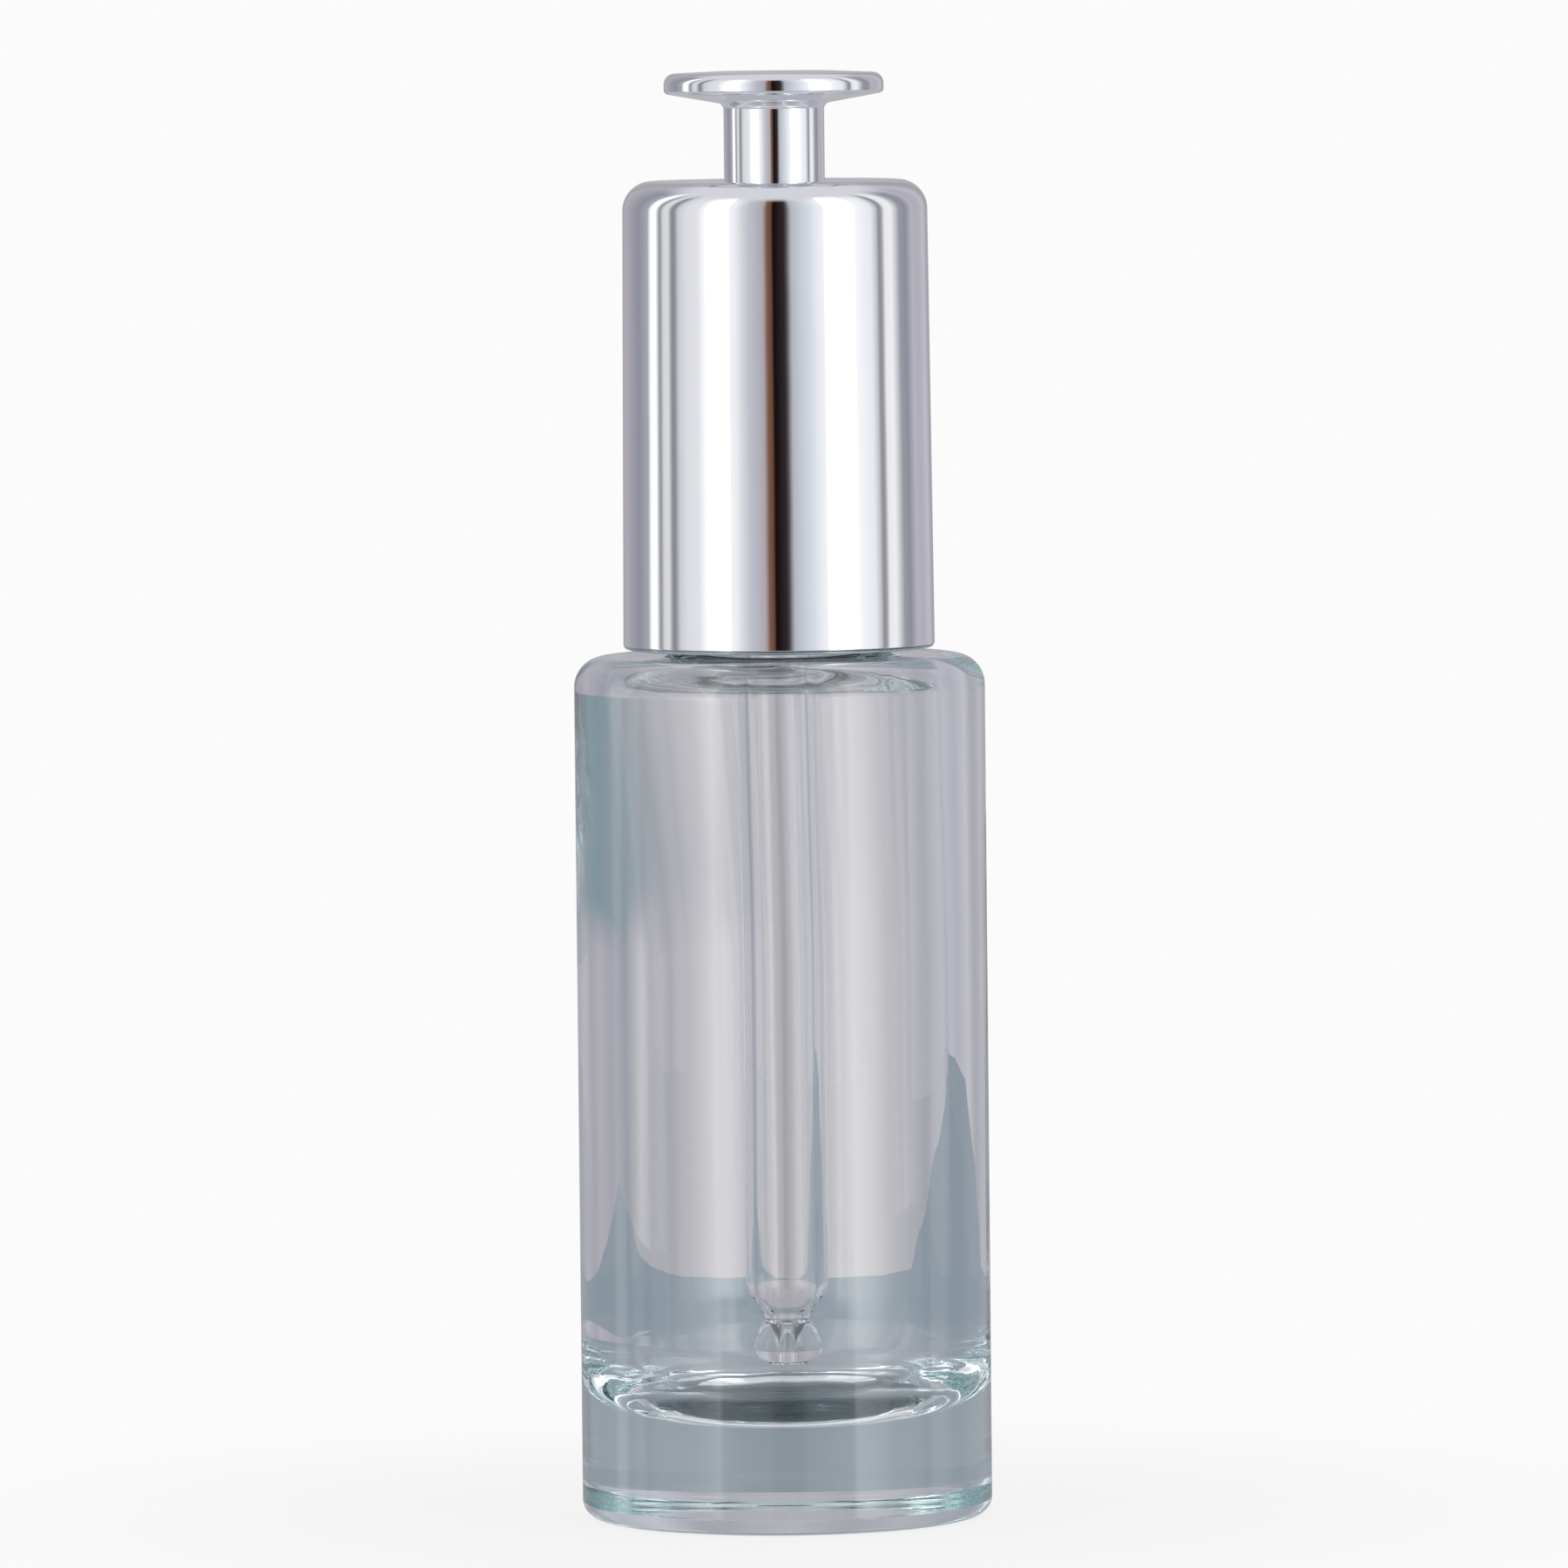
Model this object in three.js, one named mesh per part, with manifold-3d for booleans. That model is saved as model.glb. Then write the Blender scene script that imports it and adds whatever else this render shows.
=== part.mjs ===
// A push-button dropper bottle for liquid foundation, 30 ml: a thick-bottomed glass cylinder with a
// 20 mm screw neck, and a plated closure whose T-shaped button squeezes a rubber bulb on a glass
// pipette. Millimetres, +Z up, origin at the centre of the base. Every piece is turned about Z,
// apart from the screw threads, the grip splines and the coil spring.
import * as THREE from "three";
import Module from "manifold-3d";
import { mergeVertices } from "three/addons/utils/BufferGeometryUtils.js";

const wasm = await Module();
wasm.setup();

// Driving dimensions.
const BOTTLE_R = 17.5;
const SHOULDER_Z = 73.6;
const WALL = 3.7;
const FLOOR_Z = 8.5;
const NECK_H = 13.9;
const SHELL_GAP = 0.6; // air between the glass shoulder and the plated shell
const SHELL_H = 39.9;
const SHELL_FOOT_R = 13.27;
const SHELL_HEAD_R = 12.95; // the moulding's draft makes the head a little narrower
const SHELL_WALL = 1.2;
const BUTTON_R = 9.35;
const STEM_R = 4.28;
const STROKE = 6.0;
const PIPETTE_R = 3.5;
const PIPETTE_BORE_R = 2.5;
const TIP_Z = 12.0;

// The neck finish: a single-start thread of eight turns to the inch.
const LEAD = 3.175;
const THREAD_TURNS = 1.5;
const NECK_ROOT_R = 9.1;
const NECK_CREST_R = 9.85;
const CAP_ROOT_R = 10.2;
const CAP_CREST_R = 9.45;

const FIT = 0.1; // air between two pieces that bear on each other
const ROUND = 36; // facets round a large piece
const FINE_ROUND = 24; // facets round the pipette
const ARC_STEPS = 4; // segments in a quarter-round edge

const NECK_TOP_Z = SHOULDER_Z + NECK_H;
const SHELL_Z = SHOULDER_Z + SHELL_GAP;
const SHELL_TOP_Z = SHELL_Z + SHELL_H;
const BORE_R = 6.5;

const FINISH = {
  clearGlass: { color: 0xdde6e8, roughness: 0.02, metalness: 0 },
  chrome: { color: 0xd9dade, roughness: 0.05, metalness: 1 },
  whitePolypropylene: { color: 0xf0f0ee, roughness: 0.45, metalness: 0 },
  naturalPolyethylene: { color: 0xe6e8e6, roughness: 0.5, metalness: 0 },
  foamLiner: { color: 0xf5f4ef, roughness: 0.85, metalness: 0 },
  whiteAcetal: { color: 0xf4f3ee, roughness: 0.35, metalness: 0 },
  whiteSilicone: { color: 0xe9e8e6, roughness: 0.6, metalness: 0 },
  springSteel: { color: 0xa9adb0, roughness: 0.3, metalness: 1 },
};

const point = (r, z) => new THREE.Vector2(r, z);

// Points on a round edge about a centre, angles in degrees from the outward radial direction.
function arc(r, z, radius, from, to, steps = ARC_STEPS) {
  return Array.from({ length: steps + 1 }, (_, i) => {
    const a = THREE.MathUtils.degToRad(from + ((to - from) * i) / steps);
    return point(r + radius * Math.cos(a), z + radius * Math.sin(a));
  });
}

// A solid of revolution about Z. The profile runs anticlockwise with radius to the right and Z up,
// either from the axis back to the axis or all the way round a ring's section.
function turned(profile, facets = ROUND) {
  const onAxis = profile[0].x === 0;
  const points = onAxis ? profile : [...profile, profile[0].clone()];
  return new THREE.LatheGeometry(points, facets).rotateX(Math.PI / 2);
}

function solid(geometry) {
  const bare = geometry.clone();
  bare.deleteAttribute("normal");
  bare.deleteAttribute("uv");
  const merged = mergeVertices(bare, 1e-4);
  return new wasm.Manifold(
    new wasm.Mesh({
      numProp: 3,
      vertProperties: merged.attributes.position.array,
      triVerts: new Uint32Array(merged.index.array),
    }),
  );
}

function geometryOf(manifold) {
  const mesh = manifold.getMesh();
  const geometry = new THREE.BufferGeometry();
  geometry.setAttribute("position", new THREE.BufferAttribute(mesh.vertProperties, 3));
  geometry.setIndex(new THREE.BufferAttribute(mesh.triVerts, 1));
  geometry.computeVertexNormals();
  return geometry;
}

const joined = (...geometries) =>
  geometryOf(geometries.map(solid).reduce((whole, piece) => whole.add(piece)));

// One start of a right-hand thread, as a ridge sunk a little into the wall it stands on. It fades
// out over an eighth of a turn at each end. The section is drawn straight and wound round Z.
function threadRidge({ wallR, crestR, wallWidth, crestWidth, startZ, turns }) {
  const sunk = 0.3 * Math.sign(wallR - crestR);
  const section = new THREE.Shape([
    point(-wallWidth / 2, sunk),
    point(wallWidth / 2, sunk),
    point(wallWidth / 2, 0),
    point(crestWidth / 2, crestR - wallR),
    point(-crestWidth / 2, crestR - wallR),
    point(-wallWidth / 2, 0),
  ]);
  const steps = Math.round(turns * ROUND);
  const ridge = new THREE.ExtrudeGeometry(section, { depth: 1, steps, bevelEnabled: false });
  const place = ridge.attributes.position;
  const fadeShare = 0.125 / turns;
  for (let i = 0; i < place.count; i++) {
    const along = place.getZ(i);
    const fade = Math.min(1, along / fadeShare, (1 - along) / fadeShare);
    const proud = place.getY(i);
    const r = wallR + (Math.sign(proud) === Math.sign(sunk) ? proud : proud * fade);
    const angle = 2 * Math.PI * turns * along;
    place.setXYZ(
      i,
      r * Math.cos(angle),
      r * Math.sin(angle),
      startZ + LEAD * turns * along + place.getX(i),
    );
  }
  return ridge;
}

// Glass bottle: a flint-glass cylinder with a heavy base, a rounded cavity and a threaded neck.
const HEEL_R = 1.6;
const SHOULDER_EDGE_R = 2.6;
const CAVITY_R = BOTTLE_R - WALL;
const CAVITY_CORNER_R = 7.0;
const CEILING_Z = 71.8;
const CEILING_CORNER_R = 1.6;
const PUSH_UP_R = 11.0;
const PUSH_UP_H = 0.7; // the base is hollowed so that it stands on a ring
const THREAD_START = 5.2; // first thread above the shoulder

function glassBottle() {
  const lip = 0.8;
  const outside = [
    point(0, PUSH_UP_H),
    point(PUSH_UP_R * 0.6, PUSH_UP_H * 0.7),
    point(PUSH_UP_R, 0),
    ...arc(BOTTLE_R - HEEL_R, HEEL_R, HEEL_R, -90, 0),
    ...arc(BOTTLE_R - SHOULDER_EDGE_R, SHOULDER_Z - SHOULDER_EDGE_R, SHOULDER_EDGE_R, 0, 90),
    point(NECK_ROOT_R + 0.9, SHOULDER_Z + 0.1),
    point(NECK_ROOT_R, SHOULDER_Z + 0.9),
    ...arc(NECK_ROOT_R - lip, NECK_TOP_Z - lip, lip, 0, 90, 2),
  ];
  const inside = [
    point(BORE_R + 0.3, NECK_TOP_Z),
    point(BORE_R, NECK_TOP_Z - 0.3),
    point(BORE_R, CEILING_Z + 2.0),
    point(BORE_R + 0.6, CEILING_Z + 0.5),
    point(BORE_R + 2.0, CEILING_Z),
    ...arc(
      CAVITY_R - CEILING_CORNER_R,
      CEILING_Z - CEILING_CORNER_R,
      CEILING_CORNER_R,
      90,
      0,
      3,
    ),
    ...arc(CAVITY_R - CAVITY_CORNER_R, FLOOR_Z + CAVITY_CORNER_R, CAVITY_CORNER_R, 0, -90, 6),
    point(0, FLOOR_Z),
  ];
  const thread = threadRidge({
    wallR: NECK_ROOT_R - 0.03,
    crestR: NECK_CREST_R,
    wallWidth: 1.9,
    crestWidth: 0.8,
    startZ: SHOULDER_Z + THREAD_START,
    turns: THREAD_TURNS,
  });
  return joined(turned([...outside, ...inside]), thread);
}

// Neck wiper: a soft polyethylene plug in the neck, whose lip strips the pipette as it is drawn out.
const WIPER_FLANGE_H = 0.8;
const WIPER_H = 9.0;

function neckWiper() {
  const tubeR = BORE_R - FIT;
  const holeR = PIPETTE_R + 0.15;
  return turned([
    point(holeR, -WIPER_H),
    point(tubeR - 1.6, -WIPER_H),
    point(tubeR, -WIPER_H + 1.8),
    point(tubeR, FIT),
    point(8.4, FIT),
    point(8.4, WIPER_FLANGE_H + FIT),
    point(tubeR - 1.2, WIPER_FLANGE_H + FIT),
    point(tubeR - 1.2, -WIPER_H + 2.6),
    point(holeR, -WIPER_H + 0.8),
  ], FINE_ROUND);
}

// Sealing washer: a loose foam liner between the neck's rim and the cap's ceiling.
const WASHER_Z = NECK_TOP_Z + WIPER_FLANGE_H + 2 * FIT;
const WASHER_H = 1.2;

function sealingWasher() {
  const section = [point(4.2, 0), point(9.2, 0), point(9.2, WASHER_H), point(4.2, WASHER_H)];
  return turned(section, FINE_ROUND);
}

// Inner cap: a polypropylene screw cap with a splined skirt, pressed into the plated shell. Its top
// has a hole for the pipette and an upstanding rim with a snap bead for the bulb clamp.
const CAP_Z = SHELL_Z + 0.5;
const CAP_CEILING_Z = WASHER_Z + WASHER_H + FIT;
const CAP_DECK_H = 1.6;
const DECK_Z = CAP_CEILING_Z + CAP_DECK_H;
const CAP_SKIRT_R = 11.35;
const SPLINE_COUNT = 20;
const SPLINE_R = 11.72;
const RIM_R = 9.7;
const RIM_H = 2.6;
const BEAD_Z = 1.9;

function innerCap() {
  const base = CAP_Z - DECK_Z;
  const ceiling = -CAP_DECK_H;
  const body = turned([
    point(PIPETTE_R + 0.25, ceiling),
    point(CAP_ROOT_R, ceiling),
    point(CAP_ROOT_R, base + 0.5),
    point(CAP_ROOT_R + 0.5, base),
    point(CAP_SKIRT_R, base),
    point(CAP_SKIRT_R, 0),
    point(RIM_R + 1.2, 0),
    point(RIM_R + 1.2, RIM_H),
    point(RIM_R, RIM_H),
    point(RIM_R, BEAD_Z + 0.4),
    point(RIM_R - 0.3, BEAD_Z),
    point(RIM_R, BEAD_Z - 0.4),
    point(RIM_R, 0),
    point(PIPETTE_R + 0.25, 0),
  ]);
  const thread = threadRidge({
    wallR: CAP_ROOT_R + 0.03,
    crestR: CAP_CREST_R,
    wallWidth: 1.3,
    crestWidth: 0.7,
    startZ: SHOULDER_Z + THREAD_START - LEAD / 2 - DECK_Z,
    turns: THREAD_TURNS,
  });
  const splines = Array.from({ length: SPLINE_COUNT }, (_, i) => {
    const angle = ((i + 0.5) * 2 * Math.PI) / SPLINE_COUNT;
    const rib = new THREE.BoxGeometry(0.6, 0.9, -base - 2);
    rib.translate(SPLINE_R - 0.3, 0, base / 2 - 0.5);
    return rib.rotateZ(angle);
  });
  return joined(body, thread, ...splines);
}

// Glass pipette: a drawn tube with a rolled bead at the top, and a ball tip with a fine hole.
const BEAD_R = 4.6;
const PIPETTE_BEAD_H = 1.2;
const BALL_R = 2.9;
const TIP_HOLE_R = 0.6;
const TIP_WAIST_R = 2.2;

function pipette() {
  const tip = TIP_Z - (DECK_Z + FIT);
  const ballZ = tip + BALL_R * 0.86;
  const waistZ = ballZ + BALL_R * 0.95;
  const shoulderZ = waistZ + 2.2;
  return turned(
    [
      point(TIP_HOLE_R, tip),
      point(1.5, tip),
      ...arc(0, ballZ, BALL_R, -48, 42, 5),
      point(TIP_WAIST_R, waistZ),
      point(PIPETTE_R - 0.5, shoulderZ - 0.6),
      point(PIPETTE_R, shoulderZ + 0.4),
      point(PIPETTE_R, 0),
      point(BEAD_R - 0.3, 0),
      point(BEAD_R, 0.3),
      point(BEAD_R, PIPETTE_BEAD_H - 0.3),
      point(BEAD_R - 0.3, PIPETTE_BEAD_H),
      point(PIPETTE_BORE_R, PIPETTE_BEAD_H),
      point(PIPETTE_BORE_R, shoulderZ + 0.8),
      point(TIP_HOLE_R, waistZ + 0.6),
    ],
    FINE_ROUND,
  );
}

// Rubber bulb: a silicone dome whose thick foot is clamped over the pipette's bead.
const BULB_R = 6.6;
const BULB_WALL = 1.1;
const BULB_FOOT_R = 8.0;
const BULB_FOOT_H = 2.2;
const BULB_H = 14.4;
const DOME_R = 4.6;

function rubberBulb() {
  const inR = BULB_R - BULB_WALL;
  const seatH = PIPETTE_BEAD_H + FIT;
  const shoulderZ = BULB_H - DOME_R;
  return turned([
    point(BEAD_R + FIT, 0),
    point(BULB_FOOT_R, 0),
    point(BULB_FOOT_R, BULB_FOOT_H),
    point(BULB_R, BULB_FOOT_H),
    ...arc(BULB_R - DOME_R, shoulderZ, DOME_R, 0, 90),
    point(0, BULB_H),
    point(0, BULB_H - BULB_WALL),
    ...arc(inR - (DOME_R - BULB_WALL), shoulderZ, DOME_R - BULB_WALL, 90, 0),
    point(inR, BULB_FOOT_H + 0.6),
    point(3.2, BULB_FOOT_H - 0.2),
    point(3.2, seatH),
    point(BEAD_R + FIT, seatH),
  ], FINE_ROUND);
}

// Bulb clamp: a snap ring that holds the bulb's foot down and carries the spring's lower end.
const CLAMP_H = 3.5;

function bulbClamp() {
  const outR = RIM_R - FIT;
  return turned([
    point(BULB_FOOT_R + FIT, 0),
    point(outR, 0),
    point(outR, BEAD_Z - 0.6),
    point(outR - 0.35, BEAD_Z - 0.1),
    point(outR - 0.35, BEAD_Z + 0.1),
    point(outR, BEAD_Z + 0.6),
    point(outR, CLAMP_H),
    point(BULB_R + 0.3, CLAMP_H),
    point(BULB_R + 0.3, BULB_FOOT_H + FIT),
    point(BULB_FOOT_R + FIT, BULB_FOOT_H + FIT),
  ], FINE_ROUND);
}

// Plated shell: a drafted ABS cup with a round head edge and a hole for the button's stem.
const HEAD_EDGE_R = 2.5;
const CROWN = 0.12; // the head is very slightly domed
const FOOT_EDGE_R = 0.45;
const HEAD_WALL = 1.3;
const STEM_CLEARANCE = 0.2;

function outerShell() {
  const holeR = STEM_R + STEM_CLEARANCE;
  const inFootR = SHELL_FOOT_R - SHELL_WALL;
  const inHeadR = SHELL_HEAD_R - SHELL_WALL;
  const inEdgeR = HEAD_EDGE_R - SHELL_WALL;
  const ceiling = SHELL_H - HEAD_WALL;
  return turned([
    ...arc(inFootR + FOOT_EDGE_R, FOOT_EDGE_R, FOOT_EDGE_R, 180, 270, 2),
    ...arc(SHELL_FOOT_R - FOOT_EDGE_R, FOOT_EDGE_R, FOOT_EDGE_R, 270, 360, 2),
    ...arc(SHELL_HEAD_R - HEAD_EDGE_R, SHELL_H - CROWN - HEAD_EDGE_R, HEAD_EDGE_R, 0, 90, 5),
    point(holeR + 0.2, SHELL_H),
    point(holeR, SHELL_H - 0.2),
    point(holeR, ceiling),
    point(inHeadR - inEdgeR, ceiling),
    point(inHeadR, ceiling - inEdgeR),
  ]);
}

// Guide bush: a flanged polypropylene sleeve under the shell's head. The stem slides in it, and its
// lower end stops the plunger, which keeps the button from coming out.
const BUSH_FLANGE_H = 1.5;
const BUSH_H = 4.2;
const BUSH_Z = SHELL_TOP_Z - HEAD_WALL - FIT - BUSH_H;

function guideBush() {
  const holeR = STEM_R + 0.12;
  return turned([
    point(holeR, 0),
    point(holeR + 1.4, 0),
    point(holeR + 1.4, BUSH_H - BUSH_FLANGE_H),
    point(10.4, BUSH_H - BUSH_FLANGE_H),
    point(10.4, BUSH_H),
    point(holeR, BUSH_H),
  ], FINE_ROUND);
}

// Plunger: an acetal disc that pushes the bulb and carries the spring's upper end. Its post is
// pressed up into the button's hollow stem.
const PLUNGER_R = 9.4;
const PLUNGER_H = 1.6;
const POST_R = 2.9;
const POST_H = 9.0;
const PAD_R = 5.4;
const PAD_H = 0.5;
const PLUNGER_Z = BUSH_Z - FIT - PLUNGER_H;

function plunger() {
  return turned([
    point(0, -PAD_H),
    point(PAD_R, -PAD_H),
    point(PAD_R, 0),
    point(PLUNGER_R, 0),
    point(PLUNGER_R, PLUNGER_H),
    point(POST_R, PLUNGER_H),
    point(POST_R, PLUNGER_H + POST_H - 0.5),
    point(POST_R - 0.5, PLUNGER_H + POST_H),
    point(0, PLUNGER_H + POST_H),
  ], FINE_ROUND);
}

// Return spring: stainless wire between the clamp and the plunger, with closed ends.
const WIRE_R = 0.3;
const COIL_R = 8.1;
const COILS = 6;
const CLOSED_PITCH = 2.2 * WIRE_R;
const CLOSED_SHARE = 1 / COILS;

class Helix extends THREE.Curve {
  constructor(height) {
    super();
    this.height = height;
  }
  // The first and last turns lie flat at the wire's own pitch, and the turns between share the rest.
  getPoint(t, target = new THREE.Vector3()) {
    const angle = 2 * Math.PI * COILS * t;
    const ends = (Math.min(t, CLOSED_SHARE) + Math.max(t - 1 + CLOSED_SHARE, 0)) / CLOSED_SHARE;
    const middle = THREE.MathUtils.clamp((t - CLOSED_SHARE) / (1 - 2 * CLOSED_SHARE), 0, 1);
    const z = CLOSED_PITCH * ends + (this.height - 2 * CLOSED_PITCH) * middle;
    return target.set(COIL_R * Math.cos(angle), COIL_R * Math.sin(angle), z);
  }
}

function returnSpring(length) {
  const wire = new THREE.Shape(
    Array.from({ length: 6 }, (_, i) =>
      point(WIRE_R * Math.cos((i * Math.PI) / 3), WIRE_R * Math.sin((i * Math.PI) / 3)),
    ),
  );
  const path = new Helix(length - 2 * WIRE_R);
  const coil = new THREE.ExtrudeGeometry(wire, { steps: COILS * 16, extrudePath: path });
  return coil.translate(0, 0, WIRE_R);
}

// Button: one plated moulding, a disc with a rounded rim and a conical underside on a hollow stem.
const DISC_TOP = 2.75; // above the foot of the disc's cone
const RIM_BOTTOM = 0.78;
const BUTTON_CROWN = 0.2; // the disc's edge lies this far below its flat middle
const STEM_VISIBLE = STROKE + 0.45;
const STEM_LENGTH = STEM_VISIBLE + HEAD_WALL + FIT + BUSH_H - 0.1;
const BUTTON_Z = SHELL_TOP_Z + STEM_VISIBLE;

function button() {
  const boreR = POST_R + FIT;
  const topEdgeR = 0.95;
  const lowEdgeR = 0.35;
  return turned([
    point(boreR, -STEM_LENGTH),
    point(STEM_R - 0.2, -STEM_LENGTH),
    point(STEM_R, -STEM_LENGTH + 0.2),
    ...arc(STEM_R + 0.6, -0.5, 0.6, 180, 98, 3),
    point(BUTTON_R - 0.8, RIM_BOTTOM - 0.15),
    ...arc(BUTTON_R - lowEdgeR, RIM_BOTTOM + lowEdgeR, lowEdgeR, -75, 0, 2),
    ...arc(BUTTON_R - topEdgeR, DISC_TOP - BUTTON_CROWN - topEdgeR, topEdgeR, 0, 85, 4),
    point(BUTTON_R * 0.5, DISC_TOP),
    point(0, DISC_TOP),
    point(0, DISC_TOP - 1.4),
    point(boreR, DISC_TOP - 1.4),
  ]);
}

const assembly = new THREE.Group();

function add(name, geometry, finish, z) {
  const mesh = new THREE.Mesh(geometry, new THREE.MeshStandardMaterial(FINISH[finish]));
  mesh.name = name;
  mesh.position.z = z;
  assembly.add(mesh);
}

const CLAMP_Z = DECK_Z + FIT;
const SPRING_Z = CLAMP_Z + CLAMP_H + FIT;
const SPRING_LENGTH = PLUNGER_Z - FIT - SPRING_Z;

add("glass_bottle", glassBottle(), "clearGlass", 0);
add("neck_wiper", neckWiper(), "naturalPolyethylene", NECK_TOP_Z);
add("sealing_washer", sealingWasher(), "foamLiner", WASHER_Z);
add("inner_cap", innerCap(), "whitePolypropylene", DECK_Z);
add("pipette", pipette(), "clearGlass", DECK_Z + FIT);
add("rubber_bulb", rubberBulb(), "whiteSilicone", DECK_Z + FIT);
add("bulb_clamp", bulbClamp(), "whitePolypropylene", CLAMP_Z);
add("outer_shell", outerShell(), "chrome", SHELL_Z);
add("guide_bush", guideBush(), "whitePolypropylene", BUSH_Z);
add("plunger", plunger(), "whiteAcetal", PLUNGER_Z);
add("return_spring", returnSpring(SPRING_LENGTH), "springSteel", SPRING_Z);
add("button", button(), "chrome", BUTTON_Z);

export default assembly;
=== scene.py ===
"""A clear glass bottle with a push-button dropper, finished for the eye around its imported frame.

The file follows the object as it is put together: the bottle and what is fixed in its neck, the
pipette and its bulb, the cap, the plated shell, the button, and then the studio it stands in.
Outlines are in millimetres, radius from the axis and height above the base; meshes are in metres.
"""

import math

import bpy
from mathutils import Euler, Matrix, Vector, noise


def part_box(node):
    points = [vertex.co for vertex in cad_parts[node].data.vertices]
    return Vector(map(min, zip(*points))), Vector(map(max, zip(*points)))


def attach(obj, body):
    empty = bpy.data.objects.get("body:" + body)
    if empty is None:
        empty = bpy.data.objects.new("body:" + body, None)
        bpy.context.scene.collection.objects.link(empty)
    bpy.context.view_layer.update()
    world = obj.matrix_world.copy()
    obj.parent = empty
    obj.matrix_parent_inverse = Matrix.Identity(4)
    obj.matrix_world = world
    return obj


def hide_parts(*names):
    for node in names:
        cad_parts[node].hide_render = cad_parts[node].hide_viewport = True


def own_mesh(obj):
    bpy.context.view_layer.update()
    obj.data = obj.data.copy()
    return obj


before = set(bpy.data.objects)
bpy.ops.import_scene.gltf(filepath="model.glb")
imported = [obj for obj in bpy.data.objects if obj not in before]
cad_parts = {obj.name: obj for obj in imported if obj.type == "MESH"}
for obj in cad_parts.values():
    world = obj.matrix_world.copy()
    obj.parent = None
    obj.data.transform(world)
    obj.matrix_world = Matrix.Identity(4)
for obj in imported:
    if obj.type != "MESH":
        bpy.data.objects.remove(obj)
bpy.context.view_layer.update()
MM = 0.001


# --- Glass bottle ---------------------------------------------------------------------------------
# Flint glass, blown in a polished mould with a heavy base, and fire-finished. The base is hollowed
# so that it stands on a ring, and the neck carries one and a half turns of a right-hand thread.


def rounded(corners, ring=False):
    """An outline through corners (radius, height, edge radius), each edge turned as a true arc.

    Straight stretches get a point close to each end, which keeps their shading flat.
    """
    hold = 0.08
    arc_step = math.radians(6)
    longest = 1.2
    count = len(corners)
    stretches = []
    for i, (r, z, edge) in enumerate(corners):
        here = Vector((r, z))
        if not ring and i in (0, count - 1):
            stretches.append([here])
            continue
        before = (Vector(corners[i - 1][:2]) - here).normalized()
        after = (Vector(corners[(i + 1) % count][:2]) - here).normalized()
        half = before.angle(after) / 2
        reach = edge / math.tan(half)
        centre = here + (before + after).normalized() * (edge / math.sin(half))
        start = here + before * reach - centre
        turn = start.angle_signed(here + after * reach - centre)
        steps = max(2, round(abs(turn) / arc_step), round(abs(turn) * edge / longest))
        arc = [Matrix.Rotation(-turn * k / steps, 2) @ start + centre for k in range(steps + 1)]
        stretches.append(arc)
    points = []
    for i, arc in enumerate(stretches):
        points += arc
        if i == count - 1 and not ring:
            break
        gap = stretches[(i + 1) % count][0] - arc[-1]
        if gap.length > 4 * hold:
            points.append(arc[-1] + gap.normalized() * hold)
            points.append(arc[-1] + gap - gap.normalized() * hold)
    return points


def turned(name, outline, ring=False, around=192):
    """A solid of revolution about Z: a ring's section, or an outline from the axis to the axis."""
    section = outline if ring else outline[1:-1]
    verts = [
        (p.x * MM * math.cos(a), p.x * MM * math.sin(a), p.y * MM)
        for p in section
        for a in (2 * math.pi * k / around for k in range(around))
    ]
    rows = len(section)
    faces = []
    for row in range(rows if ring else rows - 1):
        above = (row + 1) % rows
        for k in range(around):
            beside = (k + 1) % around
            low, high = row * around, above * around
            faces.append((low + k, low + beside, high + beside, high + k))
    if not ring:
        verts += [(0, 0, outline[0].y * MM), (0, 0, outline[-1].y * MM)]
        for k in range(around):
            beside = (k + 1) % around
            last = (rows - 1) * around
            faces.append((rows * around, beside, k))
            faces.append((rows * around + 1, last + k, last + beside))
    mesh = bpy.data.meshes.new(name)
    mesh.from_pydata(verts, [], faces)
    mesh.shade_smooth()
    piece = bpy.data.objects.new(name, mesh)
    bpy.context.scene.collection.objects.link(piece)
    return piece


def ladder(outline, wall_r, low, high, step):
    """The outline with extra points up one wall, where a ridge is raised or the wall is bent."""
    points = []
    for here, after in zip(outline, outline[1:] + outline[:1]):
        points.append(here)
        upright = abs(after.y - here.y) > max(4 * step, 8 * abs(after.x - here.x))
        if not upright or abs(here.x - wall_r) > 0.05:
            continue
        if max(here.y, after.y) < low or min(here.y, after.y) > high:
            continue
        rungs = int(abs(after.y - here.y) / step)
        points += [here.lerp(after, k / rungs) for k in range(1, rungs)]
    return points


def node(tree, kind, inputs=None, **settings):
    """Adds one node with its settings. Inputs, by name or number, are values or sockets to link."""
    made = tree.nodes.new(kind)
    for key, value in settings.items():
        setattr(made, key, value)
    for key, value in (inputs or {}).items():
        if isinstance(value, bpy.types.NodeSocket):
            tree.links.new(value, made.inputs[key])
        else:
            made.inputs[key].default_value = value
    return made


def linear(hex_colour):
    """A colour given as sRGB hex, turned to the linear values that the shaders use."""
    parts = [int(hex_colour[i : i + 2], 16) / 255 for i in (0, 2, 4)]
    return [*(c / 12.92 if c < 0.04045 else ((c + 0.055) / 1.055) ** 2.4 for c in parts), 1]


def finish(name):
    """A new node material, with its tree and its shader."""
    made = bpy.data.materials.new(name)
    made.use_nodes = True
    return made, made.node_tree, made.node_tree.nodes["Principled BSDF"]


def dress(piece, material, slot, body, *stands_for):
    """Gives a finished piece its material, its body and the nodes it replaces. The slot is not used."""
    piece.data.materials.clear()
    piece.data.materials.append(material)
    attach(piece, body)
    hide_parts(*stands_for)


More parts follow.
